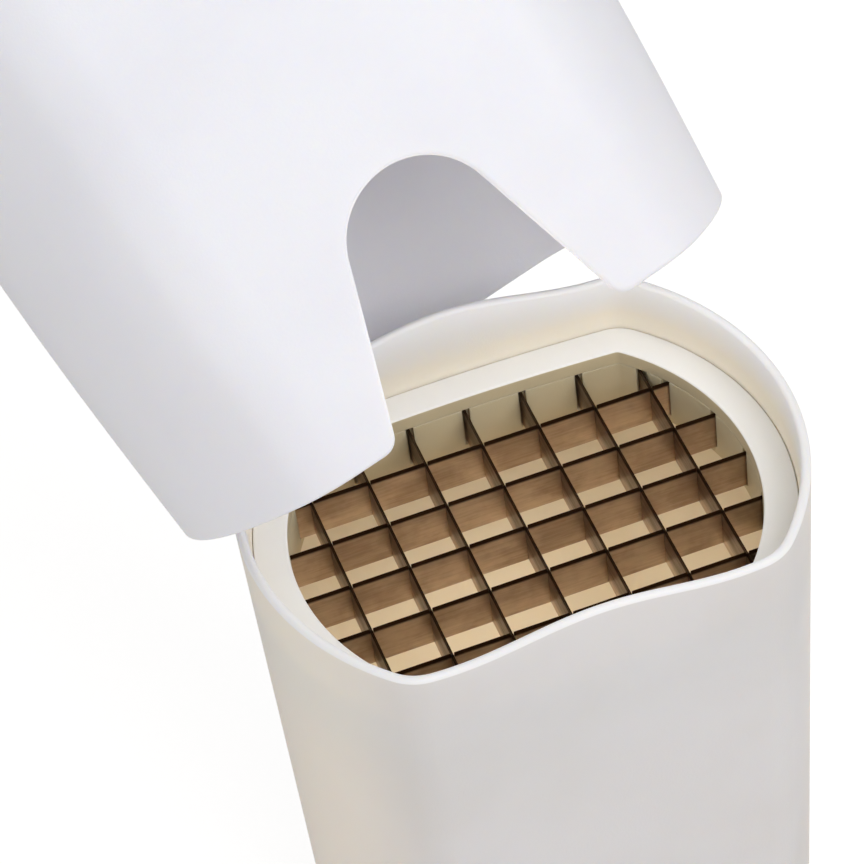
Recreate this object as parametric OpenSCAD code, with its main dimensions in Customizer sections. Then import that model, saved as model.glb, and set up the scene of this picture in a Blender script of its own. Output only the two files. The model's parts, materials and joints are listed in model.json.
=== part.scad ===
// Press-down french fry cutter. A cup holds a grid of interlocking steel blades on an inner
// shelf. A sleeve-shaped cover with a pegged pusher inside it goes over the cup and presses the
// potato through the grid. The cover is drawn tipped back off the cup, as it is before a press.
// Frame: millimetres, origin at the centre of the foot pad's underside, +Z up, +X right, and
// the arched front of the cover faces -Y.

/* [Plan outline] */
// Radius of the two rounded ends at the cup's rim
end_r = 45.9; // [44:0.1:50]
// Distance from the centre to the middle of the front and of the back
half_depth = 35.6; // [33:0.1:38]
// Radius of the gently curved front and back
side_r = 420; // [250:10:800]
// Radius of the four corners between the ends and the sides
corner_r = 9; // [7:0.1:12]

/* [Cup] */
// Height of the cup's rim above the table, at its rounded ends
cup_h = 115; // [90:1:150]
// Wall thickness of the cup below the shelf
cup_wall = 2.9; // [1.8:0.1:3.4]
// Wall thickness at the rounded lip
lip_wall = 1.6; // [1.2:0.1:2]
// Growth of the wall thickness from the lip down to the shelf
wall_growth = 0.8; // [0.4:0.1:1.2]
// Draft of the cup's outside, in degrees
cup_draft = 1.2; // [0.5:0.1:2]
// How far the rim rises in the middle of the front and of the back
rim_rise = 3.5; // [0:0.5:6]
// Width of that rise
rise_w = 52; // [40:1:56]
// Height over which the rise fades out down the wall
rise_fade = 7; // [5:0.5:8]
// Thickness of the cup's floor
floor_t = 6.5; // [1.5:0.1:8]
// Radius between the floor and the wall, inside
floor_round = 4; // [2:0.5:8]
// Radius of the cup's bottom edge, outside
foot_round = 1.6; // [0.8:0.2:2]
// Width of the shelf that carries the blade seat
shelf_w = 4; // [3:0.2:4.6]
// Thickness of the shelf at its inner edge
shelf_t = 1.5; // [1:0.1:2.5]
// Height of the slope that carries the shelf
shelf_slope = 8; // [4:0.5:12]

/* [Foot pad] */
// Thickness of the rubber pad
pad_t = 3; // [1.4:0.1:4]
// How far the pad stands out of its recess
pad_proud = 0.8; // [0.4:0.1:1]
// Width of the cup's edge round the recess
pad_edge = 2.4; // [2.2:0.1:5]
// Gap between the pad and the recess wall
pad_gap = 0.2; // [0.1:0.05:0.5]

/* [Blade grid] */
// Spacing of the blades, which sets the width of a fry
pitch = 10; // [8.5:0.5:10.5]
// Thickness of a blade
blade_t = 0.5; // [0.3:0.1:0.8]
// Height of a blade
blade_h = 7.8; // [6:0.2:10]
// Height of the ground cutting edge
edge_h = 0.8; // [0.4:0.1:1.5]
// Width left at the top of the cutting edge
edge_t = 0.12; // [0.05:0.01:0.2]
// Side gap in the half-lap slots and in the notches
slot_gap = 0.05; // [0.03:0.01:0.15]
// How far a blade's ends reach into the seat
blade_tab = 2.4; // [1.8:0.1:2.8]
// Width of the notches' mouths
mouth_w = 1.4; // [1:0.1:2]
// Depth of the notches' mouths
mouth_l = 1; // [0.6:0.1:1.4]

/* [Blade seat and ledge ring] */
// Depth of the ledge ring's top below the rim
ledge_depth = 10.4; // [8:0.2:16]
// Thickness of the ledge ring
ledge_t = 3; // [2.2:0.1:3.2]
// Width of the ledge ring
ledge_w = 5; // [4.6:0.1:5.6]
// Depth of the cutting edges below the ledge ring's top
edge_depth = 3.4; // [3.3:0.1:6]
// Thickness of the seat under the blades
seat_t = 1.6; // [1:0.1:3]
// Gap between the rings and the cup's wall
ring_gap = 0.25; // [0.15:0.05:0.4]
// Depth of the ledge ring's lip that closes over the seat's edge
lap_h = 2; // [1:0.2:3]
// Width of that lip
lap_w = 0.8; // [0.6:0.05:1]
// Gap round the lip
lap_gap = 0.1; // [0.05:0.05:0.2]

/* [Cover] */
// Gap between the cover's inside and the cup's rim
sleeve_gap = 2.5; // [1.9:0.1:3]
// Wall thickness of the cover
cover_wall = 1.8; // [1.6:0.1:3]
// Thickness of the cover's closed top
top_t = 2.2; // [1.8:0.1:4]
// How far the cover's sides swell outwards above its rim
belly = 2.8; // [0:0.1:4]
// Height over which they swell
belly_h = 60; // [40:1:80]
// Height of the rounding between the sides and the top
shoulder_h = 18; // [12:0.5:22]
// Width of that rounding
shoulder_w = 16; // [10:0.5:18]
// Rise of the crown above the rounding
crown = 2; // [1:0.2:3]
// Radius of the cover's rim
rim_round = 0.7; // [0.4:0.1:0.8]
// Gap under the cover's rim when it is pressed fully home
home_gap = 8; // [4:0.5:12]
// Clear height above the cup's rim inside the cover, pressed fully home
crown_room = 8; // [7.5:0.5:14]

/* [Arch in the cover's front] */
// Width of the arch at the rim, before its corners are rounded
arch_w = 40.6; // [34:0.2:46]
// Height of the arch
arch_h = 34.6; // [28:0.2:42]
// Radius of the arch's round top
arch_r = 11.6; // [9:0.2:13]
// Radius of the corners where the arch meets the rim
tip_r = 3; // [2:0.2:4]

/* [Pusher] */
// Thickness of the pusher's plate
plate_t = 1.8; // [1.4:0.1:4]
// Gap between the plate and the cup's lip
plate_gap = 1; // [0.8:0.1:2]
// Gap between a peg and the blades or the opening
peg_gap = 0.6; // [0.4:0.05:1]
// Wall thickness of the hollow pegs
peg_wall = 1; // [0.8:0.1:1.6]
// How far the pegs reach below the blades at the end of a press
peg_past = 1.5; // [0.5:0.1:3]
// Gap between the plate and the ledge ring at the end of a press
plate_stop = 0.8; // [0.4:0.1:2]
// Height of the stepped tip of a peg
tip_h = 1.5; // [1:0.1:3]
// Inset of the stepped tip
tip_in = 0.7; // [0.3:0.1:1]

/* [Screws] */
// Radius of a screw's shank
shank_r = 1.15; // [1:0.05:1.4]
// Length of a screw's shank
shank_l = 9; // [7:0.5:12]
// Radius of a screw's head
head_r = 2.2; // [1.8:0.1:2.4]
// Height of a screw's head
head_h = 1.6; // [1.2:0.1:2]
// Length and width of the cross recess in a head
drive_l = 2.6; // [2:0.1:3]
drive_w = 0.6; // [0.4:0.1:0.8]
// Outer radius of the bosses that the screws enter
boss_r = 3.4; // [3:0.1:4]
// Gap round a screw in the pusher
screw_gap = 0.3; // [0.2:0.05:0.4]
// Gap round a shank in its boss
pilot_gap = 0.05; // [0.03:0.01:0.1]

/* [Cover tipped back] */
// Angle that the cover leans back from upright
tilt = 43; // [0:1:44]
// Turn of the tipping axis away from straight across
tilt_turn = 20; // [15:1:25]
// Slope of the tipping axis
tilt_slope = 8.9; // [5:0.1:12]
// Distance of the tipping axis in front of the back of the rim
pivot_in = 10.3; // [8:0.1:12]
// Depth of the tipping axis below the rim
pivot_depth = 19.1; // [17:0.1:22]
// How far the upright cover reaches below the rim before a press
start_lap = 1.8; // [1:0.1:2.2]

/* [Hidden] */
$fn = 48;
fb_blades = 7;
lr_blades = 5;
end_steps = 8;
corner_steps = 4;
side_steps = 7;
least_corner_r = 0.4;
tip_sink = 0.06;
cut = 1;

// Heights in the cup
floor_z = pad_t + floor_t;
fade_z = cup_h - rise_fade;
ledge_z = cup_h - ledge_depth;
ring_z = ledge_z - ledge_t;
edge_z = ledge_z - edge_depth;
blade_z = edge_z - blade_h;
shelf_z = blade_z - seat_t;
slope_z = shelf_z - shelf_t - shelf_slope;

// Insets from the rim's outline
bore_in = lip_wall + wall_growth;
ring_in = bore_in + ring_gap;
open_in = ring_in + ledge_w;
blade_in = open_in - blade_tab;
mouth_in = open_in - mouth_l;
shelf_in = bore_in + shelf_w;
peg_in = open_in + peg_gap;
plate_in = lip_wall + plate_gap;
sleeve_in = -sleeve_gap;
cover_in = sleeve_in - cover_wall;

// Heights above the cover's rim
plate_z = ledge_z + plate_stop - home_gap;
peg_l = plate_stop + ledge_z - blade_z + peg_past;
ceiling_z = cup_h + rim_rise - home_gap + crown_room;
cover_h = ceiling_z + top_t;

// Depth of the outline's arc centres behind its middle
side_back = side_r - half_depth;

// Corner of the outline moved in by a distance: [centre x, centre y, radius, start, end angle]
function corner(in) =
    let (r = max(corner_r - in, least_corner_r),
         to_side = side_r - in - r,
         to_end = end_r - in - r,
         y = (pow(to_side, 2) - pow(to_end, 2) - pow(side_back, 2)) / (2 * side_back),
         x = sqrt(pow(to_end, 2) - pow(y, 2)))
    [x, y, r, atan2(y, x), 90 - atan2(x, y + side_back)];

function polar(r, a) = [r * cos(a), r * sin(a)];

// One quarter of the outline, from the end to just before the middle of the back
function quarter(in) =
    let (c = corner(in))
    concat(
        [for (i = [0:end_steps - 1]) polar(end_r - in, c[3] * i / end_steps)],
        [for (i = [0:corner_steps - 1])
            [c.x, c.y] + polar(c.z, c[3] + (c[4] - c[3]) * i / corner_steps)],
        [for (i = [0:side_steps - 1])
            [0, -side_back] + polar(side_r - in, c[4] + (90 - c[4]) * i / side_steps)]
    );

// The whole outline, moved in by the same distance all round, or out if that is negative
function outline(in) =
    let (q = quarter(in),
         half = concat(q, [[0, half_depth - in]],
                       [for (i = [len(q) - 1:-1:1]) [-q[i].x, q[i].y]]))
    concat(half, [for (p = half) -p]);

// Half the depth of that outline at x, and half its width at y
function depth_at(x, in) =
    let (c = corner(in), side_x = (side_r - in) * cos(c[4]), end_x = (end_r - in) * cos(c[3]))
    x <= side_x ? sqrt(pow(side_r - in, 2) - x * x) - side_back
    : x <= end_x ? c.y + sqrt(pow(c.z, 2) - pow(x - c.x, 2))
    : sqrt(pow(end_r - in, 2) - x * x);
function width_at(y, in) =
    let (c = corner(in))
    y <= (end_r - in) * sin(c[3]) ? sqrt(pow(end_r - in, 2) - y * y)
    : c.x + sqrt(pow(c.z, 2) - pow(y - c.y, 2));

// Height that the rim gains at a point of the front or the back
function rise(p) =
    abs(p.x) < rise_w / 2 && abs(p.y) > half_depth / 2
        ? rim_rise * pow(cos(180 * p.x / rise_w), 2) : 0;

// Ring of points for a step of a profile: [inset, height, share of the rise, scale]
function ring(step) =
    [for (p = outline(step[0]) * step[3]) [p.x, p.y, step[1] + step[2] * rise(p)]];
function plain(steps) = [for (s = steps) [s[0], s[1], 0, 1]];
function reversed(list) = [for (i = [len(list) - 1:-1:0]) list[i]];

// Solid through the rings of a profile that starts on an underside and ends on a top
module loft(profile) {
    rings = [for (step = profile) ring(step)];
    n = len(rings[0]);
    last = (len(rings) - 1) * n;
    walls = [for (k = [0:len(rings) - 2], i = [0:n - 1])
        let (a = k * n + i, b = k * n + (i + 1) % n)
        each [[a, b + n, b], [a, a + n, b + n]]];
    polyhedron(
        points = [for (r = rings) each r],
        faces = concat([[for (i = [0:n - 1]) i]], walls, [[for (i = [n - 1:-1:0]) last + i]])
    );
}

// Straight prism on the outline
module prism(in, z, h) {
    translate([0, 0, z]) linear_extrude(h) polygon(outline(in));
}

// Cup: drafted outside, wavy rounded lip, a shelf near the top and a recess under the floor
function drafted(z) = (cup_h - z) * tan(cup_draft);
lip_r = lip_wall / 2;
recess_in = drafted(pad_proud) + pad_edge;
cup_profile = concat(
    plain([[recess_in, pad_t], [recess_in, pad_proud]]),
    plain([for (a = [0:30:90])
        [drafted(pad_proud) + foot_round * (1 - sin(a)), pad_proud + foot_round * (1 - cos(a))]]),
    [[drafted(fade_z), fade_z, 0, 1]],
    [for (a = [0:30:180])
        [lip_r * (1 - cos(a)), cup_h - lip_r + lip_r * sin(a), 1, 1]],
    [[lip_wall + wall_growth * rise_fade / (cup_h - shelf_z), fade_z, 0, 1]],
    plain([[bore_in, shelf_z], [shelf_in, shelf_z], [shelf_in, shelf_z - shelf_t]]),
    plain([[cup_wall + drafted(slope_z), slope_z]]),
    plain([for (a = [0:30:90])
        [cup_wall + drafted(floor_z) + floor_round * (1 - cos(a)),
         floor_z + floor_round * (1 - sin(a))]])
);
module base_cup() {
    color([0.87, 0.85, 0.82]) loft(cup_profile);
}

module foot_pad() {
    color([0.35, 0.35, 0.36]) prism(recess_in + pad_gap, 0, pad_t);
}

// Front-back blades stand at an x and left-right blades at a y, spaced about the centre
function place(i, count) = (i - (count + 1) / 2) * pitch;
// Half length from the middle to an inset of the outline, along one of those blades
function fb_half(i, in) = depth_at(abs(place(i, fb_blades)) + blade_t / 2, in);
function lr_half(i, in) = width_at(abs(place(i, lr_blades)) + blade_t / 2, in);
slot_w = blade_t + 2 * slot_gap;
lap_z = blade_z + blade_h / 2;

// Blade along X with a ground upper edge
module blade_bar(half) {
    translate([-half, 0, blade_z]) rotate([90, 0, 90]) linear_extrude(2 * half)
        polygon([
            [-blade_t / 2, 0], [blade_t / 2, 0], [blade_t / 2, blade_h - edge_h],
            [edge_t / 2, blade_h], [-edge_t / 2, blade_h], [-blade_t / 2, blade_h - edge_h]
        ]);
}

// Half-lap slots across a blade along X, each open at the top or at the bottom
module lap_slots(count, from_top) {
    for (i = [1:count])
        translate([place(i, count) - slot_w / 2, -cut, from_top ? lap_z - slot_gap : blade_z - cut])
            cube([slot_w, 2 * cut, blade_h / 2 + slot_gap + cut]);
}

module blade_front_back(i) {
    color([0.72, 0.68, 0.64]) translate([place(i, fb_blades), 0, 0]) rotate([0, 0, 90])
        difference() {
            blade_bar(fb_half(i, blade_in));
            lap_slots(lr_blades, false);
        }
}

module blade_left_right(i) {
    color([0.66, 0.62, 0.58]) translate([0, place(i, lr_blades), 0])
        difference() {
            blade_bar(lr_half(i, blade_in));
            lap_slots(fb_blades, true);
        }
}

// Slot in the seat for both ends of a blade along X, open at the top
module notch(half, width) {
    translate([-half - slot_gap, -width / 2, blade_z])
        cube([2 * (half + slot_gap), width, ring_z - blade_z + cut]);
}

// Ring on the cup's shelf that holds the ends of all the blades
module blade_seat() {
    color([0.93, 0.92, 0.9]) difference() {
        prism(ring_in, shelf_z, ring_z - shelf_z);
        prism(open_in, shelf_z - cut, ring_z - shelf_z + 2 * cut);
        difference() {
            prism(ring_in - cut, ring_z - lap_h - lap_gap, lap_h + lap_gap + cut);
            prism(ring_in + lap_w + lap_gap, ring_z - lap_h - cut, lap_h + 3 * cut);
        }
        for (i = [1:fb_blades]) translate([place(i, fb_blades), 0, 0]) rotate([0, 0, 90]) {
            notch(fb_half(i, blade_in), slot_w);
            notch(fb_half(i, mouth_in), mouth_w);
        }
        for (i = [1:lr_blades]) translate([0, place(i, lr_blades), 0]) {
            notch(lr_half(i, blade_in), slot_w);
            notch(lr_half(i, mouth_in), mouth_w);
        }
    }
}

// Ring that shows round the grid and closes the notches, with a lip over the seat's edge
module ledge_ring() {
    color([0.95, 0.95, 0.96]) difference() {
        prism(ring_in, ring_z - lap_h, ledge_t + lap_h);
        prism(ring_in + lap_w, ring_z - lap_h - cut, lap_h + cut);
        prism(open_in, ring_z - cut, ledge_t + 2 * cut);
    }
}

// Cover: a sleeve that swells above its rim and closes in a rounded, slightly crowned top
function swell(z) = belly * sin(90 * z / belly_h);
top_scale = 1 - shoulder_w / (end_r - cover_in + belly);
wall_steps = [for (k = [1:4]) k * belly_h / 4];
crown_steps = [0.7, 0.35, 0.05];
function dome(in, z) = concat(
    [for (a = [0:18:90])
        let (s = 1 - (1 - top_scale) * (1 - cos(a)))
        [in, z - crown * s * s - shoulder_h * (1 - sin(a)), 0, s]],
    [for (s = crown_steps * top_scale) [in, z - crown * s * s, 0, s]]
);
cover_profile = concat(
    reversed(dome(sleeve_in - belly, ceiling_z)),
    plain([for (z = reversed(wall_steps)) [sleeve_in - swell(z), z]]),
    plain([for (a = [0:30:90])
        [sleeve_in - rim_round * (1 - cos(a)), rim_round * (1 - sin(a))]]),
    plain([for (a = [0:30:90])
        [cover_in + rim_round * (1 - sin(a)), rim_round * (1 - cos(a))]]),
    plain([for (z = wall_steps) [cover_in - swell(z), z]]),
    dome(cover_in - belly, cover_h)
);

// Outline of the arch: a round top, flaring legs and rounded corners at the rim
arch_top = arch_h - arch_r;
leg_l = sqrt(pow(arch_w / 2, 2) + pow(arch_top, 2));
flare = 90 - atan2(arch_top, arch_w / 2) - asin(arch_r / leg_l);
shoulder_pt = [0, arch_top] + polar(arch_r, flare);
tip_z = tip_r - tip_sink;
tip_x = arch_w / 2 - tip_z * tan(flare) + tip_r / cos(flare);
module arch_outline() {
    translate([0, arch_top]) circle(arch_r);
    polygon([
        [-arch_w / 2, -cut], [arch_w / 2, -cut], [arch_w / 2, 0], shoulder_pt,
        [-shoulder_pt.x, shoulder_pt.y], [-arch_w / 2, 0]
    ]);
    for (side = [0, 1]) mirror([side, 0]) difference() {
        polygon([
            [0, -cut], [tip_x, -cut], [tip_x, tip_z], [tip_x, tip_z] - polar(tip_r, flare), [0, tip_z]
        ]);
        translate([tip_x, tip_z]) circle(tip_r);
    }
}

// The four screws stand in the cells next to the outermost blades' neighbours
screw_x = 1.5 * pitch;
boss_z = plate_z + plate_t;
module at_screws(z) {
    for (x = [-screw_x, screw_x], y = [-screw_x, screw_x]) translate([x, y, z]) children();
}

// Moves a piece from the cover's own frame, rim at z = 0, to where the tipped cover stands
tip_axis = [
    -cos(tilt_slope) * cos(tilt_turn), -cos(tilt_slope) * sin(tilt_turn), sin(tilt_slope)
];
pivot = [0, half_depth - pivot_in, cup_h - pivot_depth];
module tipped() {
    translate(pivot) rotate(a = tilt, v = tip_axis) translate(-pivot)
        translate([0, 0, cup_h - start_lap]) children();
}

module cover_shell() {
    color([0.93, 0.93, 0.95]) tipped() {
        difference() {
            loft(cover_profile);
            rotate([90, 0, 0]) linear_extrude(end_r + belly) arch_outline();
        }
        at_screws(boss_z) difference() {
            cylinder(h = ceiling_z - boss_z, r = boss_r);
            translate([0, 0, -cut])
                cylinder(h = shank_l - plate_t + 2 * cut, r = shank_r + pilot_gap);
        }
    }
}

// Square pegs between the lines of the blades, inside the grid's opening
module pegs(in, gap, z, h) {
    slab = blade_t + 2 * gap;
    difference() {
        prism(in, z, h);
        for (i = [1:fb_blades])
            translate([place(i, fb_blades) - slab / 2, -half_depth, z - cut])
                cube([slab, 2 * half_depth, h + 2 * cut]);
        for (i = [1:lr_blades])
            translate([-end_r, place(i, lr_blades) - slab / 2, z - cut])
                cube([2 * end_r, slab, h + 2 * cut]);
        for (a = [0, 1], b = [0, 1])
            mirror([a, 0, 0]) mirror([0, b, 0])
                translate([place(fb_blades, fb_blades), place(lr_blades, lr_blades), z - cut])
                    cube([end_r, half_depth, h + 2 * cut]);
    }
}

// Pusher: a plate with hollow pegs, four of them solid and bored for the screws
module pusher_block() {
    core_in = peg_in + peg_wall;
    core_gap = peg_gap + peg_wall;
    color([0.9, 0.9, 0.91]) tipped() difference() {
        union() {
            prism(plate_in, plate_z, plate_t);
            pegs(peg_in, peg_gap, plate_z - peg_l + tip_h, peg_l - tip_h + plate_t / 2);
            pegs(peg_in + tip_in, peg_gap + tip_in, plate_z - peg_l, tip_h + cut);
        }
        difference() {
            pegs(core_in, core_gap, plate_z - peg_l + tip_h, peg_l - tip_h + plate_t + cut);
            at_screws(plate_z - peg_l) translate([-pitch / 2, -pitch / 2, 0])
                cube([pitch, pitch, peg_l + plate_t + 2 * cut]);
        }
        at_screws(plate_z - peg_l - cut) {
            cylinder(h = peg_l + cut, r = head_r + screw_gap);
            cylinder(h = peg_l + plate_t + 2 * cut, r = shank_r + screw_gap);
        }
    }
}

module pusher_screws() {
    color([0.75, 0.75, 0.78]) tipped() at_screws(plate_z) {
        cylinder(h = shank_l, r = shank_r);
        translate([0, 0, -head_h]) difference() {
            cylinder(h = head_h, r = head_r);
            for (turn = [0, 90]) rotate(turn)
                translate([-drive_l / 2, -drive_w / 2, -cut])
                    cube([drive_l, drive_w, cut + head_h / 2]);
        }
    }
}

base_cup();
foot_pad();
blade_seat();
ledge_ring();
for (i = [1:fb_blades])
    blade_front_back(i);
for (i = [1:lr_blades])
    blade_left_right(i);
cover_shell();
pusher_block();
pusher_screws();
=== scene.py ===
import json
import math

import bmesh
import bpy
import numpy as np
from mathutils import Matrix, Vector


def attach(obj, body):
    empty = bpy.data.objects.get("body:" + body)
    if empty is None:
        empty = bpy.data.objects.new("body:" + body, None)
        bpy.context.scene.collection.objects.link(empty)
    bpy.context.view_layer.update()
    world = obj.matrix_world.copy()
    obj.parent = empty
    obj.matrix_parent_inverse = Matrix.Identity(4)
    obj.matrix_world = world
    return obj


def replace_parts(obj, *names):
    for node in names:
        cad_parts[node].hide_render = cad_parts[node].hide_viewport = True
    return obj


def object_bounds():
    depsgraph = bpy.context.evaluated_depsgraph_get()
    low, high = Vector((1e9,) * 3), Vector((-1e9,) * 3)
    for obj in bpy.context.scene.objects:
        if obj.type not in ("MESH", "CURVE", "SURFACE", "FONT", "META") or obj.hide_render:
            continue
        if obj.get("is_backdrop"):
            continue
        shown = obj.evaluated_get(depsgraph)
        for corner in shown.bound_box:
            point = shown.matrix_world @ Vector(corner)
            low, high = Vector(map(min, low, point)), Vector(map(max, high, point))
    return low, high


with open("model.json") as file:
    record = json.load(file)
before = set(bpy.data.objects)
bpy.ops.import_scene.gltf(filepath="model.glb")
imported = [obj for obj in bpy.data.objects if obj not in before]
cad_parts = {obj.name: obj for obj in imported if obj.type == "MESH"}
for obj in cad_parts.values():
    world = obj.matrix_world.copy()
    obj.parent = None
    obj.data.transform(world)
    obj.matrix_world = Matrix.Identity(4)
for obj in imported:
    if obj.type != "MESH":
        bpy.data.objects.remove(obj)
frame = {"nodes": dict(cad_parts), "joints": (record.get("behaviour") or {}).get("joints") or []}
packedLow, packedHigh = [list(corner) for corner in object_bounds()]
print("frame loaded")

# Lengths in the dictionaries are millimetres and meshes are built in metres
mm = 0.001

# Flat ends of a lofted piece are drawn in this far before one face closes them
capDepth = 20.0

# Plan of the rim: wide side arcs, end arcs and corner arcs between them
plan = {
    "endRadius": 45.9,
    "halfDepth": 35.6,
    "sideRadius": 420.0,
    "cornerRadius": 9.0,
    "leastCorner": 0.4,
    "middleHalf": 24.0,
    "middleReach": 0.98,
    "endSteps": 36,
    "cornerSteps": 12,
    "sideSteps": 12,
}
arch = {
    "halfWidth": 20.3,
    "top": 23.4,
    "radius": 12.3,
    "tipRadius": 3.0,
    "steps": 76,
}


def tone(red, green, blue):
    shares = [channel / 255 for channel in (red, green, blue)]
    return tuple(s / 12.92 if s <= 0.04045 else ((s + 0.055) / 1.055) ** 2.4 for s in shares)


# The arch's edge: a round top, straight flaring legs and rounded tips at the rim
legLength = math.hypot(arch["halfWidth"], arch["top"])
flare = math.pi / 2 - math.atan2(arch["top"], arch["halfWidth"]) - math.asin(arch["radius"] / legLength)
shoulderX = arch["radius"] * math.cos(flare)
tipX = arch["halfWidth"] + arch["tipRadius"] * (1 / math.cos(flare) - math.tan(flare))
legEndX = tipX - arch["tipRadius"] * math.cos(flare)


def archHeight(x):
    x = np.abs(x)
    top = arch["top"] + np.sqrt(np.maximum(arch["radius"] ** 2 - x * x, 0))
    leg = (arch["halfWidth"] - x) / math.tan(flare)
    tip = arch["tipRadius"] - np.sqrt(np.maximum(arch["tipRadius"] ** 2 - (x - tipX) ** 2, 0))
    return np.select([x <= shoulderX, x <= legEndX, x < tipX], [top, leg, tip], 0.0)


# Places across the middle, evenly spaced along the arch's edge
fine = np.linspace(0, tipX, 4000)
travel = np.concatenate([[0], np.cumsum(np.hypot(np.diff(fine), np.diff(archHeight(fine))))])
archXs = np.interp(np.linspace(0, travel[-1], arch["steps"]), travel, fine)
middleXs = np.concatenate([[plan["middleHalf"], (plan["middleHalf"] + tipX) / 2], archXs[:0:-1]])

quarterKinds = (
    [("end", i / plan["endSteps"]) for i in range(plan["endSteps"])]
    + [("corner", i / plan["cornerSteps"]) for i in range(plan["cornerSteps"])]
    + [("side", i / plan["sideSteps"]) for i in range(plan["sideSteps"])]
    + [("middle", x) for x in middleXs]
)
halfStations = (
    [(kind, value, 1, 1) for kind, value in quarterKinds]
    + [("middle", 0.0, 1, 1)]
    + [(kind, value, -1, 1) for kind, value in quarterKinds[:0:-1]]
)
stations = halfStations + [(kind, value, -sx, -sy) for kind, value, sx, sy in halfStations]
stationKind = np.array([s[0] for s in stations])
stationValue = np.array([s[1] for s in stations])
signX = np.array([s[2] for s in stations])
signY = np.array([s[3] for s in stations])
stationCount = len(stations)


def planRing(inset, slide=0.0):
    sideBack = plan["sideRadius"] - plan["halfDepth"]
    inset = np.zeros(stationCount) + inset
    radius = np.maximum(plan["cornerRadius"] - inset, plan["leastCorner"])
    toSide = plan["sideRadius"] - inset - radius
    toEnd = plan["endRadius"] - inset - radius
    centreY = (toSide**2 - toEnd**2 - sideBack**2) / (2 * sideBack)
    centreX = np.sqrt(toEnd**2 - centreY**2)
    cornerStart = np.arctan2(centreY, centreX)
    cornerEnd = np.arctan2(centreY + sideBack, centreX)
    sideArc = plan["sideRadius"] - inset
    # Deep inside, the ring is narrower than its middle stretch, which then draws in with it
    narrowing = np.minimum(1, plan["middleReach"] * centreX / plan["middleHalf"])
    middleAngle = np.arccos(plan["middleHalf"] * narrowing / sideArc)
    endAngle = cornerStart * stationValue
    cornerAngle = cornerStart + (cornerEnd - cornerStart) * stationValue
    sideAngle = cornerEnd + (middleAngle - cornerEnd) * stationValue
    middleX = stationValue * narrowing + slide
    kinds = [stationKind == kind for kind in ("end", "corner", "side", "middle")]
    x = np.select(kinds, [
        (plan["endRadius"] - inset) * np.cos(endAngle),
        centreX + radius * np.cos(cornerAngle),
        sideArc * np.cos(sideAngle),
        middleX,
    ])
    y = np.select(kinds, [
        (plan["endRadius"] - inset) * np.sin(endAngle),
        centreY + radius * np.sin(cornerAngle),
        sideArc * np.sin(sideAngle) - sideBack,
        np.sqrt(np.maximum(sideArc**2 - middleX**2, 0)) - sideBack,
    ])
    return np.stack([x * signX, y * signY], axis=1)


def softened(path, closed=False, steps=5):
    # Rounds the corners of a profile whose points are (inset, height, share of the rise, radius)
    rows = []
    count = len(path)
    for i, point in enumerate(path):
        here = np.array(point[:3], float)
        if point[3] == 0 or (not closed and i in (0, count - 1)):
            rows.append(here)
            continue
        before = np.array(path[i - 1][:3], float) - here
        after = np.array(path[(i + 1) % count][:3], float) - here
        lengthBefore, lengthAfter = np.hypot(*before[:2]), np.hypot(*after[:2])
        reach = min(point[3], 0.48 * lengthBefore, 0.48 * lengthAfter)
        start = here + before / lengthBefore * reach
        end = here + after / lengthAfter * reach
        for t in np.linspace(0, 1, steps):
            rows.append((1 - t) ** 2 * start + 2 * t * (1 - t) * here + t * t * end)
    return rows


def riseAt(points):
    inWave = (np.abs(points[:, 0]) < cup["riseWidth"] / 2) & (np.abs(points[:, 1]) > plan["halfDepth"] / 2)
    wave = cup["rimRise"] * np.cos(math.pi * points[:, 0] / cup["riseWidth"]) ** 2
    return np.where(inWave, wave, 0.0)


def profileRings(rows):
    rings = []
    for inset, height, share in rows:
        points = planRing(inset)
        rings.append(np.column_stack([points, height + share * riseAt(points)]))
    return rings


def makeMesh(name, points, faces, sharpDegrees=38):
    mesh = bpy.data.meshes.new(name)
    mesh.from_pydata([tuple(p) for p in np.asarray(points) * mm], [], faces)
    mesh.shade_smooth()
    mesh.set_sharp_from_angle(angle=math.radians(sharpDegrees))
    piece = bpy.data.objects.new(name, mesh)
    bpy.context.scene.collection.objects.link(piece)
    return piece


def loftFaces(ringCount, size, closed=False, caps=True):
    faces = []
    for k in range(ringCount if closed else ringCount - 1):
        low, high = k * size, ((k + 1) % ringCount) * size
        faces += [(low + i, low + (i + 1) % size, high + (i + 1) % size, high + i) for i in range(size)]
    if caps and not closed:
        last = (ringCount - 1) * size
        faces.append(tuple(range(size - 1, -1, -1)))
        faces.append(tuple(range(last, last + size)))
    return faces


def loftPiece(name, rings, closed=False):
    return makeMesh(name, np.vstack(rings), loftFaces(len(rings), stationCount, closed))


def markPoints(piece, name, rowShares):
    # Gives the material a share for each row of a lofted piece
    shares = piece.data.attributes.new(name, "FLOAT", "POINT")
    shares.data.foreach_set("value", np.repeat(rowShares, stationCount).astype(np.float32))


def boxPoints(low, high):
    return [(x, y, z) for z in (low[2], high[2]) for y in (low[1], high[1]) for x in (low[0], high[0])]


def joined(name, parts, sharpDegrees=38):
    # Puts lists of points and faces together in one mesh
    points, faces = [], []
    for somePoints, someFaces in parts:
        offset = len(points)
        points += [tuple(p) for p in somePoints]
        faces += [tuple(i + offset for i in face) for face in someFaces]
    return makeMesh(name, points, faces, sharpDegrees)


boxFaces = [(0, 2, 3, 1), (4, 5, 7, 6), (0, 1, 5, 4), (2, 6, 7, 3), (0, 4, 6, 2), (1, 3, 7, 5)]


def turned(profile, centre, steps=40):
    # A round body from its profile of (radius, height)
    angles = np.linspace(0, 2 * math.pi, steps, endpoint=False)
    points = [
        (centre[0] + radius * math.cos(a), centre[1] + radius * math.sin(a), z)
        for radius, z in profile
        for a in angles
    ]
    return points, loftFaces(len(profile), steps)


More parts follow.
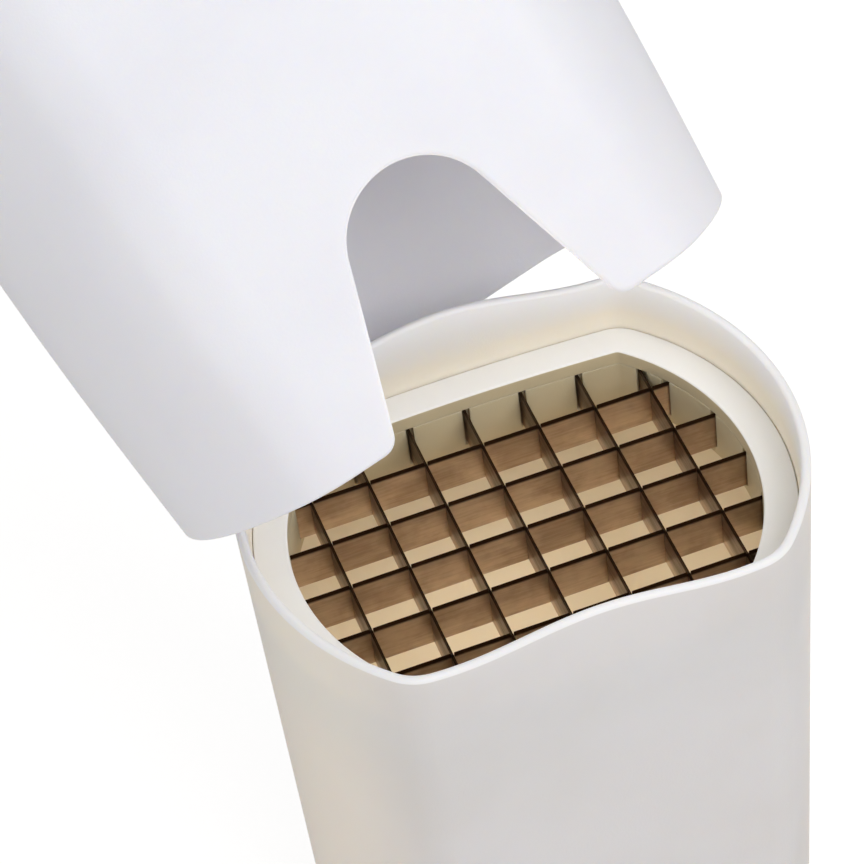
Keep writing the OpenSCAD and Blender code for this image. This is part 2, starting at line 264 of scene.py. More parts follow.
def bake(piece):
    # Keeps what the modifiers make as the piece's own mesh
    shaped = bpy.data.meshes.new_from_object(piece.evaluated_get(bpy.context.evaluated_depsgraph_get()))
    piece.modifiers.clear()
    piece.data = shaped
    return piece


def shapeWith(piece, other, operation="DIFFERENCE"):
    boolean = piece.modifiers.new("shape", "BOOLEAN")
    boolean.operation = operation
    boolean.solver = "EXACT"
    boolean.object = other
    bake(piece)
    bpy.data.objects.remove(other)
    piece.data.shade_smooth()
    piece.data.set_sharp_from_angle(angle=math.radians(38))
    return piece


class Wire:
    def __init__(self, graph, socket):
        self.graph = graph
        self.socket = socket

    def combine(self, operation, first, second):
        return self.graph.add("ShaderNodeMath", {"operation": operation}, [first, second])

    def __add__(self, other):
        return self.combine("ADD", self, other)

    def __radd__(self, other):
        return self.combine("ADD", other, self)

    def __sub__(self, other):
        return self.combine("SUBTRACT", self, other)

    def __rsub__(self, other):
        return self.combine("SUBTRACT", other, self)

    def __mul__(self, other):
        return self.combine("MULTIPLY", self, other)

    def __rmul__(self, other):
        return self.combine("MULTIPLY", other, self)


class Graph:
    def __init__(self, name):
        self.material = bpy.data.materials.new(name)
        self.material.use_nodes = True
        self.tree = self.material.node_tree
        self.tree.nodes.clear()

    def add(self, kind, settings=None, values=(), output=0):
        node = self.tree.nodes.new(kind)
        for name, value in (settings or {}).items():
            setattr(node, name, value)
        pairs = values.items() if isinstance(values, dict) else enumerate(values)
        for key, value in pairs:
            if isinstance(value, Wire):
                self.tree.links.new(value.socket, node.inputs[key])
            elif value is not None:
                node.inputs[key].default_value = value
        return Wire(self, node.outputs[output]) if node.outputs else None

    def place(self):
        return self.add("ShaderNodeTexCoord", output="Object")

    def stretch(self, place, scales):
        return self.add("ShaderNodeVectorMath", {"operation": "MULTIPLY"}, [place, scales])

    def noise(self, place, scale, detail=2.0, roughness=0.5):
        values = {"Vector": place, "Scale": scale, "Detail": detail, "Roughness": roughness}
        return self.add("ShaderNodeTexNoise", {}, values)

    def fade(self, value, low, high, toLow=0.0, toHigh=1.0):
        settings = {"interpolation_type": "SMOOTHSTEP"}
        return self.add("ShaderNodeMapRange", settings, [value, low, high, toLow, toHigh])

    def mix(self, share, first, second):
        values = {0: share, 6: first, 7: second}
        return self.add("ShaderNodeMix", {"data_type": "RGBA"}, values, output=2)

    def bump(self, height, strength, distance, normal=None):
        values = {"Strength": strength, "Distance": distance, "Height": height, "Normal": normal}
        return self.add("ShaderNodeBump", {}, values)

    def finish(self, values):
        shader = self.add("ShaderNodeBsdfPrincipled", {}, values)
        self.add("ShaderNodeOutputMaterial", {}, [shader])
        return self.material


def rgba(colour):
    return (*colour, 1.0)


def mouldedPlastic(look):
    graph = Graph(look["name"])
    place = graph.place()
    axes = [graph.add("ShaderNodeSeparateXYZ", {}, [place], output=i) for i in range(3)]
    cloudy = graph.fade(graph.noise(place, look["cloudScale"], 3), 0.35, 0.65)
    colour = graph.mix(cloudy, rgba(look["colour"]), rgba(look["shade"]))
    # Painted glows: a colour fading in along one axis
    for paintedGlow in look.get("paintedGlows", ()):
        share = graph.fade(axes[paintedGlow["axis"]], paintedGlow["from"] * mm, paintedGlow["to"] * mm, 0.0, paintedGlow["strength"])
        colour = graph.mix(share, colour, rgba(paintedGlow["colour"]))
    # Painted light from point attributes: warm glow or shade on inner faces, a highlight on the lip
    for mark in ("inside", "lip"):
        if mark in look:
            share = graph.add("ShaderNodeAttribute", {"attribute_name": mark}, output=2)
            colour = graph.mix(share, colour, rgba(look[mark]))
    scuffNoise = graph.noise(graph.stretch(place, look["scuffStretch"]), look["scuffScale"], 4, 0.6)
    scuffs = graph.fade(scuffNoise, look["scuffLow"], look["scuffHigh"])
    roughness = look["roughness"] + look["unevenness"] * (cloudy - 0.5) + look["scuffs"] * scuffs
    grain = graph.noise(place, look["grainScale"], 2)
    normal = graph.bump(grain, look["grain"], 0.0002)
    normal = graph.bump(graph.noise(place, look["waveScale"], 1), look["waves"], 0.002, normal)
    return graph.finish({
        "Base Color": colour,
        "Roughness": roughness,
        "IOR": 1.47,
        "Subsurface Weight": look["subsurface"],
        "Subsurface Radius": (1.0, 0.8, 0.55),
        "Subsurface Scale": look["subsurfaceScale"],
        "Normal": normal,
    })


def setMaterial(piece, material):
    piece.data.materials.clear()
    piece.data.materials.append(material)
    return piece


# Cup: drafted outside, a rounded wavy lip, the shelf for the grid and a recess for the pad
cup = {
    "height": 115.0,
    "wall": 2.9,
    "lip": 1.6,
    "growth": 0.8,
    "draft": math.tan(math.radians(1.2)),
    "rimRise": 3.5,
    "riseWidth": 52.0,
    "fade": 108.0,
    "floor": 9.5,
    "foot": 0.8,
    "footRound": 1.7,
    "outerRows": (20, 55, 90),
    "recess": 2.4,
    "recessTop": 3.0,
    "recessRound": 0.3,
    "shelf": 91.8,
    "shelfWidth": 4.0,
    "shelfUnder": 90.3,
    "shelfRound": 0.5,
    "slopeEnd": 82.3,
    "slopeRound": 3.0,
    "fadeRound": 2.5,
    "innerRow": 50,
    # share of the painted inside glow on the bore wall above the shelf
    "boreShare": 0.75,
    "floorRound": 4.5,
}
boreInset = cup["lip"] + cup["growth"]


def drafted(height):
    return (cup["height"] - height) * cup["draft"]


lipRadius = cup["lip"] / 2
recessInset = drafted(cup["foot"]) + cup["recess"]
cupPath = [
    (recessInset + capDepth, cup["recessTop"], 0, 0),
    (recessInset, cup["recessTop"], 0, cup["recessRound"]),
    (recessInset, cup["foot"], 0, cup["recessRound"]),
    (drafted(cup["foot"]), cup["foot"], 0, cup["footRound"]),
]
cupPath += [(drafted(height), height, 0, 0) for height in cup["outerRows"]]
cupPath.append((drafted(cup["fade"]), cup["fade"], 0, cup["fadeRound"]))
lipPath = [
    (lipRadius * (1 - math.cos(a)), cup["height"] - lipRadius + lipRadius * math.sin(a), 1, 0)
    for a in np.linspace(0, math.pi, 13)
]
fadeInset = cup["lip"] + cup["growth"] * (cup["height"] - cup["fade"]) / (cup["height"] - cup["shelf"])
innerPath = [
    (fadeInset, cup["fade"], 0, cup["fadeRound"]),
    (boreInset, cup["shelf"], 0, cup["shelfRound"]),
    (boreInset + cup["shelfWidth"], cup["shelf"], 0, cup["shelfRound"]),
    (boreInset + cup["shelfWidth"], cup["shelfUnder"], 0, cup["shelfRound"]),
    (cup["wall"] + drafted(cup["slopeEnd"]), cup["slopeEnd"], 0, cup["slopeRound"]),
    (cup["wall"] + drafted(cup["innerRow"]), cup["innerRow"], 0, 0),
    (cup["wall"] + drafted(cup["floor"]), cup["floor"], 0, cup["floorRound"]),
    (cup["wall"] + capDepth, cup["floor"], 0, 0),
]
cupRows = softened(cupPath) + softened(lipPath) + softened(innerPath, steps=7)
cupShell = loftPiece("cupShell", profileRings(cupRows))
lipStart = len(softened(cupPath))
lipEnd = lipStart + len(lipPath)


def insideShadingShare(k, height):
    # How much painted warm glow a row gets on the cup's inner faces: none outside, less above the shelf than
    # below it
    if k < lipEnd:
        return 0.0
    return cup["boreShare"] if height > cup["shelf"] + 1 else 1.0


# Painted light: the cup's inner faces get a warmer, lighter colour standing in for light bounced inside and
# passed through the plastic
markPoints(cupShell, "inside", [insideShadingShare(k, row[1]) for k, row in enumerate(cupRows)])
# Painted highlight: the lip rows get a lighter colour
markPoints(cupShell, "lip", [float(lipStart < k < lipEnd) for k in range(len(cupRows))])
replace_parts(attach(cupShell, "base"), "base_cup")
print("cup built")

# Pad: fills the recess under the cup and stands a little out of it
pad = {"gap": 0.2, "top": 3.0, "round": 0.5, "topRound": 0.2}
padInset = recessInset + pad["gap"]
padPath = [
    (padInset + capDepth, 0, 0, 0),
    (padInset, 0, 0, pad["round"]),
    (padInset, pad["top"], 0, pad["topRound"]),
    (padInset + capDepth, pad["top"], 0, 0),
]
footPad = loftPiece("footPad", profileRings(softened(padPath)))
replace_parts(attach(footPad, "base"), "foot_pad")
print("pad built")

# Blades and the notches that hold their ends
blades = {
    "thickness": 0.5,
    "pitch": 10.0,
    "low": 93.4,
    "high": 101.2,
    "gap": 0.05,
    "endInset": 5.25,
    "mouthInset": 6.65,
    "mouthWidth": 1.4,
    "frontBack": 7,
    "leftRight": 5,
}


def linesOf(count):
    return [(i - (count + 1) / 2) * blades["pitch"] for i in range(1, count + 1)]


def reachAt(place, inset, alongX):
    # Half length from the middle line to the plan moved in by the inset
    ring = planRing(inset)
    across, along = (ring[:, 1], ring[:, 0]) if alongX else (ring[:, 0], ring[:, 1])
    chosen = along > 0
    order = np.argsort(across[chosen])
    return float(np.interp(place, across[chosen][order], along[chosen][order]))


# Seat: the ring on the shelf, with a notch and a wider mouth at each end of each blade
seat = {
    "low": 91.8,
    "high": 101.6,
    "outer": 2.65,
    "inner": 7.65,
    "lap": 2.1,
    "lapWidth": 0.9,
    "round": 0.25,
    "lapRound": 0.15,
    "cutPast": 4,
    "cutOver": 1,
}
seatPath = [
    (seat["outer"], seat["low"], 0, seat["round"]),
    (seat["outer"], seat["high"] - seat["lap"], 0, seat["lapRound"]),
    (seat["outer"] + seat["lapWidth"], seat["high"] - seat["lap"], 0, seat["lapRound"]),
    (seat["outer"] + seat["lapWidth"], seat["high"], 0, seat["lapRound"]),
    (seat["inner"], seat["high"], 0, seat["round"]),
    (seat["inner"], seat["low"], 0, seat["round"]),
]
seatRing = loftPiece("seatRing", profileRings(softened(seatPath, closed=True)), closed=True)
notches = []
for alongX, count in ((False, blades["frontBack"]), (True, blades["leftRight"])):
    for line in linesOf(count):
        edge = abs(line) + blades["thickness"] / 2
        for side in (-1, 1):
            sizes = (
                (blades["endInset"], blades["thickness"] + 2 * blades["gap"]),
                (blades["mouthInset"], blades["mouthWidth"]),
            )
            for inset, width in sizes:
                far = reachAt(edge, inset, alongX) + blades["gap"]
                near = reachAt(edge, seat["inner"] + seat["cutPast"], alongX)
                ends = sorted((side * near, side * far))
                low = [ends[0], line - width / 2, blades["low"]]
                high = [ends[1], line + width / 2, seat["high"] + seat["cutOver"]]
                if not alongX:
                    low[:2], high[:2] = low[1::-1], high[1::-1]
                notches.append((boxPoints(low, high), boxFaces))
# The wide mouths are cut first, then the narrow notches behind them
for part in (notches[1::2], notches[0::2]):
    shapeWith(seatRing, joined("notches", part))
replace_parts(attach(seatRing, "grid"), "blade_seat")
print("seat built")

# Ledge ring: lies on the seat, closes its notches and laps over its edge
ledge = {
    "low": 99.6,
    "foot": 101.6,
    "high": 104.6,
    "outer": 2.25,
    "top": 2.06,
    "inner": 7.65,
    "lap": 3.45,
    "lowRound": 0.15,
    "outerRound": 0.3,
    "innerRound": 0.35,
    "footRound": 0.2,
    "lapRound": 0.1,
}
ledgePath = [
    (ledge["outer"], ledge["low"], 0, ledge["lowRound"]),
    (ledge["top"], ledge["high"], 0, ledge["outerRound"]),
    (ledge["inner"], ledge["high"], 0, ledge["innerRound"]),
    (ledge["inner"], ledge["foot"], 0, ledge["footRound"]),
    (ledge["lap"], ledge["foot"], 0, ledge["lapRound"]),
    (ledge["lap"], ledge["low"], 0, ledge["lapRound"]),
]
ledgeRows = softened(ledgePath[::-1], closed=True)[::-1]
ledgeRing = loftPiece("ledgeRing", profileRings(ledgeRows), closed=True)
# Painted warm shade: the ledge's inner wall rows get a tan colour
onInnerWall = [float(row[0] > ledge["inner"] - 0.05 and row[1] < ledge["high"] - 0.3) for row in ledgeRows]
markPoints(ledgeRing, "inside", onInnerWall)
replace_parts(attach(ledgeRing, "grid"), "ledge_ring")
print("ledge built")

# Cover: built upright with its rim at height 0, then tipped as the joint has it
cover = {
    "sleeve": -2.5,
    "wall": 1.8,
    "belly": 2.8,
    "bellyHeight": 60.0,
    "shoulderHeight": 18.0,
    "shoulderWidth": 16.0,
    "crown": 2.0,
    "ceiling": 118.5,
    "height": 120.7,
    "rimRound": 0.7,
    "level": 48.0,
    "startLap": 1.8,
    "screwPlace": 15.0,
    "bossFoot": 99.2,
    "bossRadius": 3.4,
    "pilotRadius": 1.2,
    "pilotTop": 106.4,
    "bossSteps": 32,
    "shoulderSteps": 25,
    "crownShares": (0.85, 0.7, 0.55, 0.4, 0.25, 0.12, 0.04),
    "upperRows": (76.0, 90.0),
    "lifts": (0.02, 0.06, 0.14, 0.26, 0.42, 0.6, 0.8),
}
coverOuter = cover["sleeve"] - cover["wall"]
topScale = 1 - cover["shoulderWidth"] / (plan["endRadius"] - coverOuter + cover["belly"])


def swell(height):
    share = np.clip(np.asarray(height, float) / cover["bellyHeight"], 0, 1)
    return cover["belly"] * np.sin(math.pi / 2 * share)


frontMiddle = (stationKind == "middle") & (signY < 0)
rimX = np.where(frontMiddle, stationValue, plan["middleHalf"])
rimZ = np.where(frontMiddle, archHeight(rimX), 0.0)
nudge = 1e-4
rimSlope = np.where(frontMiddle, (archHeight(rimX + nudge) - archHeight(rimX - nudge)) / (2 * nudge), 0.0)
rimSlope = np.where(rimX < nudge, 0.0, rimSlope)
slantX = -rimSlope / np.sqrt(1 + rimSlope**2)
slantZ = 1 / np.sqrt(1 + rimSlope**2)


def rimRing(baseInset, extra, offset, lift):
    # Ring at an offset from the arch's edge, lifted a share of the way to the level rows
    edgeZ = rimZ + slantZ * offset
    z = edgeZ + (cover["level"] - edgeZ) * lift
    slide = slantX * offset * (1 - lift)
    points = planRing(baseInset - swell(z) + extra, slide)
    return np.column_stack([points, z])


def levelRing(baseInset, z, scale=1.0):
    points = planRing(baseInset - float(swell(z))) * scale
    return np.column_stack([points, np.full(stationCount, z)])


def domeRings(baseInset, top):
    rings = []
    for a in np.linspace(0, math.pi / 2, cover["shoulderSteps"]):
        scale = 1 - (1 - topScale) * (1 - math.cos(a))
        z = top - cover["crown"] * scale * scale - cover["shoulderHeight"] * (1 - math.sin(a))
        rings.append(levelRing(baseInset, z, scale))
    for share in cover["crownShares"]:
        scale = topScale * share
        rings.append(levelRing(baseInset, top - cover["crown"] * scale * scale, scale))
    return rings


arcSteps = np.linspace(0, math.pi / 2, 6)
lifts = cover["lifts"]
levels = [*np.linspace(cover["level"], cover["bellyHeight"], 5), *cover["upperRows"]]
innerWall = [levelRing(cover["sleeve"], z) for z in levels]
outerWall = [levelRing(coverOuter, z) for z in levels]
rimRound = cover["rimRound"]
innerEdge = [rimRing(cover["sleeve"], 0, rimRound, lift) for lift in lifts[::-1]]
innerEdge += [
    rimRing(cover["sleeve"], -rimRound * (1 - math.cos(a)), rimRound * (1 - math.sin(a)), 0) for a in arcSteps
]
outerEdge = [
    rimRing(coverOuter, rimRound * (1 - math.sin(a)), rimRound * (1 - math.cos(a)), 0) for a in arcSteps
]
outerEdge += [rimRing(coverOuter, 0, rimRound, lift) for lift in lifts]
coverRings = (
    domeRings(cover["sleeve"], cover["ceiling"])[::-1]
    + innerWall[::-1]
    + innerEdge
    + outerEdge
    + outerWall
    + domeRings(coverOuter, cover["height"])
)
joint = next(j for j in frame["joints"] if j["name"] == "cover_tilt")
pivot = Vector(joint["pos_m"])
swing = Matrix.Rotation(-math.radians(joint["range_deg"][1]), 4, Vector(joint["axis"]))
raised = Matrix.Translation((0, 0, (cup["height"] - cover["startLap"]) * mm))
tipped = Matrix.Translation(pivot) @ swing @ Matrix.Translation(-pivot) @ raised


def tip(piece):
    piece.data.transform(tipped)
    return piece


screwSpots = [(x * cover["screwPlace"], y * cover["screwPlace"]) for x in (-1, 1) for y in (-1, 1)]
shellParts = [(np.vstack(coverRings), loftFaces(len(coverRings), stationCount))]
bossProfile = [
    (cover["pilotRadius"], cover["pilotTop"]),
    (cover["pilotRadius"], cover["bossFoot"]),
    (cover["bossRadius"], cover["bossFoot"]),
    (cover["bossRadius"], cover["ceiling"]),
]
shellParts += [turned(bossProfile, spot, cover["bossSteps"]) for spot in screwSpots]
coverShell = tip(joined("coverShell", shellParts))
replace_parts(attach(coverShell, "cover"), "cover_shell")
print("cover built")

# Pusher: a plate with a peg for each cell, four of them bored for the screws
pusher = {
    "plateInset": 2.6,
    "plateLow": 97.4,
    "plateHigh": 99.2,
    "pegInset": 8.25,
    "gap": 0.6,
    "pegLow": 83.9,
    "pegWall": 1.0,
    "tipHeight": 1.5,
    "tipInset": 0.7,
    "headBore": 2.5,
    "shankBore": 1.45,
    "cutOver": 1,
    "plateRound": 0.4,
    "edgeRound": 0.2,
    "outlineStep": 4,
}
farOut = 2 * plan["endRadius"]
plateInset = pusher["plateInset"]
platePath = [
    (plateInset + capDepth, pusher["plateLow"], 0, 0),
    (plateInset, pusher["plateLow"], 0, pusher["plateRound"]),
    (plateInset, pusher["plateHigh"], 0, pusher["plateRound"]),
    (plateInset + capDepth, pusher["plateHigh"], 0, 0),
]


def clipped(polygon, axis, limit, keepBelow):
    # Convex polygon cut by a straight line across one axis
    side = 1 if keepBelow else -1
    kept = []
    for i, point in enumerate(polygon):
        other = polygon[(i + 1) % len(polygon)]
        a, b = side * (limit - point[axis]), side * (limit - other[axis])
        if a >= 0:
            kept.append(tuple(point))
        if a * b < 0:
            share = a / (a - b)
            kept.append(tuple(point[j] + (other[j] - point[j]) * share for j in (0, 1)))
    return kept


def cells(count):
    # From line to line of the blades, less the gap, and from the outermost lines outwards
    lines = linesOf(count)
    half = blades["thickness"] / 2 + pusher["gap"]
    middles = [(low + half, high - half) for low, high in zip(lines, lines[1:])]
    return [(-farOut, lines[0] - half)] + middles + [(lines[-1] + half, farOut)]


columns, rows = cells(blades["frontBack"]), cells(blades["leftRight"])


def pegPolygon(column, row, inset):
    # Where a peg stands: the grid's opening, cut down to one cell
    polygon = [tuple(p) for p in planRing(pusher["pegInset"] + inset)[:: pusher["outlineStep"]]]
    for axis, (low, high) in ((0, column), (1, row)):
        polygon = clipped(polygon, axis, high - inset, True)
        polygon = clipped(polygon, axis, low + inset, False)
    return polygon


pegMesh = bmesh.new()
cores = []
pegFoot = pusher["pegLow"] + pusher["tipHeight"]
pegTop = (pusher["plateLow"] + pusher["plateHigh"]) / 2
cutTop = pusher["plateHigh"] + pusher["cutOver"]
for column in columns:
    for row in rows:
        if column in (columns[0], columns[-1]) and row in (rows[0], rows[-1]):
            continue
        verts = [pegMesh.verts.new((x, y, pegFoot)) for x, y in pegPolygon(column, row, 0)]
        top = bmesh.ops.extrude_face_region(pegMesh, geom=[pegMesh.faces.new(verts[::-1])])
        for vert in top["geom"]:
            if isinstance(vert, bmesh.types.BMVert):
                vert.co.z = pegTop
        if not any(column[0] < x < column[1] and row[0] < y < row[1] for x, y in screwSpots):
            polygon = pegPolygon(column, row, pusher["pegWall"])
            core = [(x, y, z) for z in (pegFoot, cutTop) for x, y in polygon]
            cores.append((core, loftFaces(2, len(polygon))))
bmesh.ops.recalc_face_normals(pegMesh, faces=pegMesh.faces)
for face in [f for f in pegMesh.faces if f.normal.z < -0.9]:
    bmesh.ops.inset_individual(pegMesh, faces=[face], thickness=pusher["tipInset"], depth=pusher["tipHeight"])
pegMesh.verts.index_update()
pegPoints = [tuple(v.co) for v in pegMesh.verts]
pegFaces = [tuple(v.index for v in f.verts) for f in pegMesh.faces]
pegMesh.free()
plateRings = profileRings(softened(platePath))
pusherBlock = joined("pusherBlock", [(np.vstack(plateRings), loftFaces(len(plateRings), stationCount))])
shapeWith(pusherBlock, joined("pegs", [(pegPoints, pegFaces)]), "UNION")
cutLow = pusher["pegLow"] - pusher["cutOver"]
shankBore = [(pusher["shankBore"], cutLow), (pusher["shankBore"], cutTop)]
headBore = [(pusher["headBore"], cutLow), (pusher["headBore"], pusher["plateLow"])]
shanks = [turned(shankBore, spot) for spot in screwSpots]
heads = [turned(headBore, spot) for spot in screwSpots]
for name, cuts in (("cores", cores), ("shanks", shanks), ("heads", heads)):
    shapeWith(pusherBlock, joined(name, cuts))
edgeSoft = pusherBlock.modifiers.new("soft", "BEVEL")
edgeSoft.width = pusher["edgeRound"] * mm
edgeSoft.segments = 2
edgeSoft.limit_method = "ANGLE"
edgeSoft.angle_limit = math.radians(35)
bake(pusherBlock)
pusherBlock.data.shade_smooth()
pusherBlock.data.set_sharp_from_angle(angle=math.radians(32))
tip(pusherBlock)
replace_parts(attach(pusherBlock, "cover"), "pusher_block")
print("pusher built")

cupLook = {
    "name": "cupPlastic",
    "colour": tone(221, 220, 222),
    "shade": tone(217, 215, 215),
    # painted warm glow on the cup's inner faces
    "inside": tone(240, 231, 214),
    # painted highlight along the lip
    "lip": tone(245, 245, 247),
    "cloudScale": 22.0,
    "scuffStretch": (1.0, 1.0, 0.25),
    "scuffScale": 260.0,
    "scuffLow": 0.56,
    "scuffHigh": 0.74,
    "scuffs": 0.05,
    "roughness": 0.42,
    "unevenness": 0.06,
    "grainScale": 2600.0,
    "grain": 0.12,
    "waveScale": 60.0,
    "waves": 0.05,
    "subsurface": 0.5,
    "subsurfaceScale": 0.003,
}
# Painted warm glow fading in towards both ends of the cup, standing in for light coming through the plastic
cupLook["paintedGlows"] = [
    {"axis": 0, "from": 33, "to": 46, "strength": 0.65, "colour": tone(249, 241, 228)},
    {"axis": 0, "from": -28, "to": -44, "strength": 0.75, "colour": tone(249, 241, 228)},
]
# The other pieces' looks leave out the cup's painted glows, painted inside shading and painted lip highlight
plainLook = {key: value for key, value in cupLook.items() if key not in ("paintedGlows", "inside", "lip")}
# The seat's tan colour is painted warm shade standing in for the shaded inside of the cup
seatLook = dict(plainLook, name="seatPlastic", colour=tone(200, 187, 156), shade=tone(193, 179, 147))
ledgeLook = dict(plainLook, name="ledgePlastic", colour=tone(247, 246, 243), shade=tone(244, 243, 239))
# tan painted warm shade on the ledge's inner wall
ledgeLook.update(subsurface=0.2, inside=tone(200, 187, 156))
coverLook = dict(plainLook, name="coverPlastic", colour=tone(238, 239, 247), shade=tone(234, 235, 243))
coverLook.update(roughness=0.46)
pusherLook = dict(plainLook, name="pusherPlastic", colour=tone(234, 234, 238), shade=tone(228, 228, 231))

setMaterial(cupShell, mouldedPlastic(cupLook))
setMaterial(seatRing, mouldedPlastic(seatLook))
setMaterial(ledgeRing, mouldedPlastic(ledgeLook))
setMaterial(coverShell, mouldedPlastic(coverLook))
setMaterial(pusherBlock, mouldedPlastic(pusherLook))

padLook = {
    "name": "padRubber",
    "colour": tone(52, 52, 54),
    "shade": tone(42, 42, 44),
    "cloudScale": 90.0,
    "roughness": 0.82,
    "unevenness": 0.1,
    "grainScale": 2200.0,
    "grain": 0.3,
}


def rubber(look):
    graph = Graph(look["name"])
    place = graph.place()
    cloudy = graph.fade(graph.noise(place, look["cloudScale"], 3), 0.3, 0.7)
    colour = graph.mix(cloudy, rgba(look["colour"]), rgba(look["shade"]))
    roughness = look["roughness"] + look["unevenness"] * (cloudy - 0.5)
    normal = graph.bump(graph.noise(place, look["grainScale"], 3), look["grain"], 0.0003)
    return graph.finish({"Base Color": colour, "Roughness": roughness, "Normal": normal})


setMaterial(footPad, rubber(padLook))

steelLook = {
    # Warm steel colour is partly painted warm reflection of the cup's inside; the darker streaks are brushing
    # grain
    "colour": tone(205, 187, 172),
    "streak": tone(153, 133, 119),
    # painted dark reflection on the blades' upper part
    "edge": tone(66, 46, 32),
    "paintedDarkReflection": tone(103, 84, 71),
    "darkReflectionLow": 94.6,
    "darkReflectionHigh": 97.2,
    # painted shade: a dark line along the blades' top edge
    "edgeLow": 100.2,
    "edgeHigh": 100.7,
    "lineScale": 100.0,
    "patchScale": 90.0,
    "streakShare": 0.15,
    "patchShare": 0.6,
    "roughness": 0.34,
    "streakRoughness": 0.12,
    "topEdgeRoughness": 0.1,
    "grain": 0.12,
}


def bladeSteel(name, stretch, paintedDarkReflection):
    graph = Graph(name)
    place = graph.place()
    height = graph.add("ShaderNodeSeparateXYZ", {}, [place], output=2)
    lines = graph.noise(graph.stretch(place, stretch), steelLook["lineScale"], 3, 0.6)
    streaks = graph.fade(lines, 0.4, 0.62)
    # Darker patches are painted mottled reflection
    reflectionPatches = graph.fade(graph.noise(place, steelLook["patchScale"], 4, 0.6), 0.36, 0.66)
    darker = streaks * steelLook["streakShare"] + reflectionPatches * steelLook["patchShare"]
    colour = graph.mix(darker, rgba(steelLook["colour"]), rgba(steelLook["streak"]))
    # Painted dark reflection on the upper part of the blades
    darkReflectionShare = graph.fade(height, steelLook["darkReflectionLow"] * mm, steelLook["darkReflectionHigh"] * mm, 0.0, paintedDarkReflection)
    colour = graph.mix(darkReflectionShare, colour, rgba(steelLook["paintedDarkReflection"]))
    # Painted shade along the blades' top edge, which is also rougher
    paintedEdgeShade = graph.fade(height, steelLook["edgeLow"] * mm, steelLook["edgeHigh"] * mm)
    colour = graph.mix(paintedEdgeShade, colour, rgba(steelLook["edge"]))
    unevenness = steelLook["streakRoughness"] * streaks + steelLook["topEdgeRoughness"] * paintedEdgeShade
    roughness = steelLook["roughness"] + unevenness
    normal = graph.bump(lines, steelLook["grain"], 0.0002)
    return graph.finish({"Base Color": colour, "Metallic": 1.0, "Roughness": roughness, "Normal": normal})


# Front-back blades get a strong painted dark reflection, left-right blades a weak one
frontBackSteel = bladeSteel("frontBackSteel", (18.0, 1.6, 24.0), 0.85)
leftRightSteel = bladeSteel("leftRightSteel", (1.6, 18.0, 24.0), 0.15)
for i in range(1, blades["frontBack"] + 1):
    setMaterial(frame["nodes"][f"blade_front_back_{i}"], frontBackSteel)
for i in range(1, blades["leftRight"] + 1):
    setMaterial(frame["nodes"][f"blade_left_right_{i}"], leftRightSteel)

screwLook = {
    "name": "screwSteel",
    "colour": tone(196, 196, 200),
    "shade": tone(160, 160, 166),
    "cloudScale": 700.0,
    "roughness": 0.25,
    "unevenness": 0.12,
    "grainScale": 3000.0,
    "grain": 0.15,
}


def screwSteel(look):
    graph = Graph(look["name"])
    place = graph.place()
    cloudy = graph.fade(graph.noise(place, look["cloudScale"], 3), 0.35, 0.65)
    colour = graph.mix(cloudy, rgba(look["colour"]), rgba(look["shade"]))
    normal = graph.bump(graph.noise(place, look["grainScale"], 2), look["grain"], 0.0001)
    return graph.finish({
        "Base Color": colour,
        "Metallic": 1.0,
        "Roughness": look["roughness"] + look["unevenness"] * cloudy,
        "Normal": normal,
    })


setMaterial(frame["nodes"]["pusher_screws"], screwSteel(screwLook))
print("materials set")

# Floor: white paper that keeps the shadow and glows towards the camera
paper = {
    "halfWidth": 3000.0,
    "height": -0.05,
    "colour": tone(244, 243, 242),
    "shade": tone(241, 240, 239),
    "glow": 1.35,
    "glowShare": 0.6,
}
corners = [(-1, -1), (1, -1), (1, 1), (-1, 1)]
floorPoints = [(x * paper["halfWidth"], y * paper["halfWidth"], paper["height"]) for x, y in corners]
floor = makeMesh("floor", floorPoints, [(0, 1, 2, 3)])
floorGraph = Graph("floorPaper")
mottle = floorGraph.fade(floorGraph.noise(floorGraph.place(), 5.0, 3), 0.3, 0.7)
paperColour = floorGraph.mix(mottle, rgba(paper["colour"]), rgba(paper["shade"]))
paperValues = {"Base Color": paperColour, "Roughness": 1.0, "Specular IOR Level": 0.0}
floorShader = floorGraph.add("ShaderNodeBsdfPrincipled", {}, paperValues)
glow = floorGraph.add("ShaderNodeEmission", {}, {"Color": (1, 1, 1, 1), "Strength": paper["glow"]})
cameraRay = floorGraph.add("ShaderNodeLightPath", output="Is Camera Ray")
floorMix = floorGraph.add("ShaderNodeMixShader", {}, [cameraRay * paper["glowShare"], floorShader, glow])
floorGraph.add("ShaderNodeOutputMaterial", {}, [floorMix])
floor.data.materials.append(floorGraph.material)
floor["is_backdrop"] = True

# Studio: a soft warm fill for the object, plain white behind it
studio = {"fill": (1.0, 0.985, 0.965, 1), "fillStrength": 0.5, "white": (1, 1, 1, 1), "whiteStrength": 1.0}
world = bpy.data.worlds.new("studio")
world.use_nodes = True
bpy.context.scene.world = world
worldNodes, worldLinks = world.node_tree.nodes, world.node_tree.links
worldNodes.clear()
worldOut = worldNodes.new("ShaderNodeOutputWorld")
rays = worldNodes.new("ShaderNodeLightPath")
chooser = worldNodes.new("ShaderNodeMixShader")
worldLinks.new(rays.outputs["Is Camera Ray"], chooser.inputs[0])
for slot, name in ((1, "fill"), (2, "white")):
    background = worldNodes.new("ShaderNodeBackground")
    background.inputs["Color"].default_value = studio[name]
    background.inputs["Strength"].default_value = studio[name + "Strength"]
    worldLinks.new(background.outputs[0], chooser.inputs[slot])
worldLinks.new(chooser.outputs[0], worldOut.inputs["Surface"])


def addLamp(kind, look):
    lamp = bpy.data.lights.new(look["name"], kind)
    lamp.energy = look["power"]
    lamp.color = look["colour"]
    holder = bpy.data.objects.new(look["name"], lamp)
    holder.location = look["place"]
    bpy.context.scene.collection.objects.link(holder)
    return lamp, holder


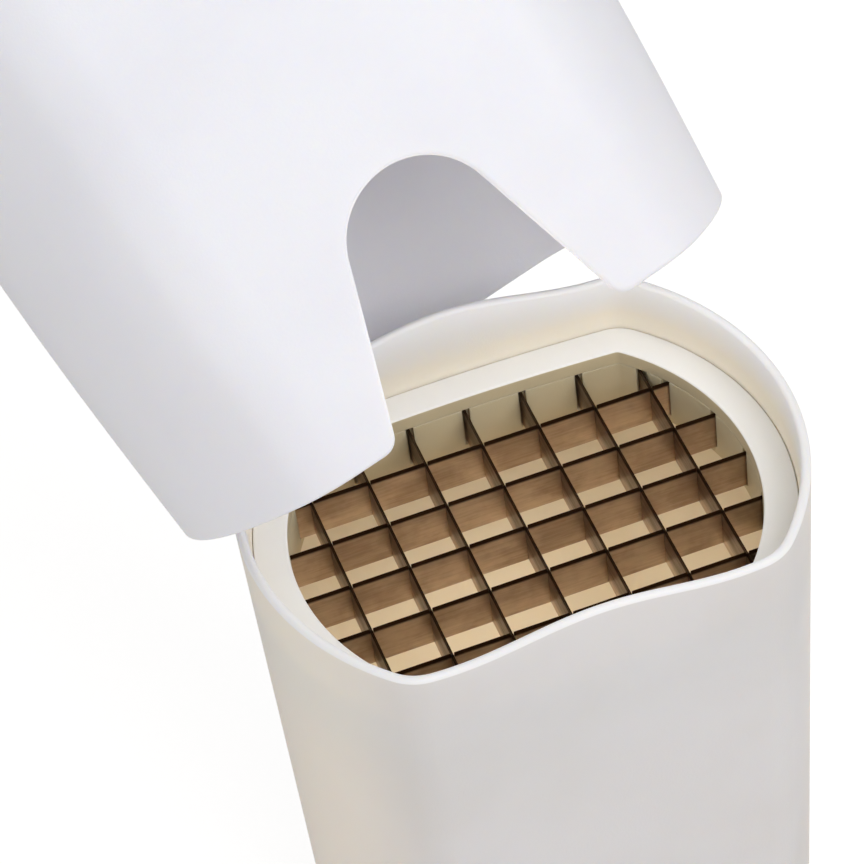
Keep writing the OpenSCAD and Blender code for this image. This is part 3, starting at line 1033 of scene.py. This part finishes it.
# Places and sizes of lamps in metres, powers in watts
softBoxes = [
    {
        "name": "softFront",
        "place": (0.28, -0.48, 0.8),
        "target": (0, 0, 0.12),
        "size": (0.7, 0.7),
        "power": 4.0,
        "colour": (1.0, 0.99, 0.98),
    },
    {
        "name": "softLeft",
        "place": (-1.0, -0.75, 0.17),
        "target": (0, 0, 0.07),
        "size": (0.8, 0.32),
        "power": 1.9,
        "colour": (1.0, 0.98, 0.95),
    },
]
for look in softBoxes:
    lamp, holder = addLamp("AREA", look)
    lamp.shape = "RECTANGLE"
    lamp.size, lamp.size_y = look["size"]
    aim = Vector(look["target"]) - Vector(look["place"])
    holder.rotation_euler = aim.to_track_quat("-Z", "Y").to_euler()

# Stand in for daylight that comes through the thin walls of the cup and the cover
glows = [
    {"name": "cupGlow", "place": (0, 0, 0.045), "radius": 0.02, "power": 0.017, "colour": (1.0, 0.91, 0.78)},
    {
        "name": "mouthGlow",
        "place": (0.015, 0.005, 0.129),
        "radius": 0.01,
        "power": 0.011,
        "colour": (1.0, 0.97, 0.92),
    },
    {
        "name": "coverGlow",
        "place": (-0.006, 0, 0.15),
        "radius": 0.012,
        "power": 0.012,
        "colour": (1.0, 0.95, 0.88),
    },
]
for look in glows:
    lamp, holder = addLamp("POINT", look)
    lamp.shadow_soft_size = look["radius"]
    holder.visible_camera = False
    holder.visible_glossy = False

# Camera: where it stands in metres, turned and tipped in degrees
eye = {"lens": 143.0, "sensor": 36.0, "near": 0.01, "turn": -14.04, "down": 46.34, "roll": -8.13}
eye["place"] = (-0.1019, -0.3547, 0.5124)
camera = bpy.data.cameras.new("camera")
camera.lens = eye["lens"]
camera.sensor_width = eye["sensor"]
camera.clip_start = eye["near"]
holder = bpy.data.objects.new("camera", camera)
turn = Matrix.Rotation(math.radians(eye["turn"]), 4, "Z")
pitch = Matrix.Rotation(math.radians(90 - eye["down"]), 4, "X")
roll = Matrix.Rotation(math.radians(eye["roll"]), 4, "Z")
holder.matrix_world = Matrix.Translation(eye["place"]) @ turn @ pitch @ roll
bpy.context.scene.collection.objects.link(holder)
bpy.context.scene.camera = holder
bpy.context.scene.view_settings.view_transform = "Standard"
print("lights and camera set")

finalLow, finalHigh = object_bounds()
sizes = {"packed": [packedLow, packedHigh], "final": [list(finalLow), list(finalHigh)]}
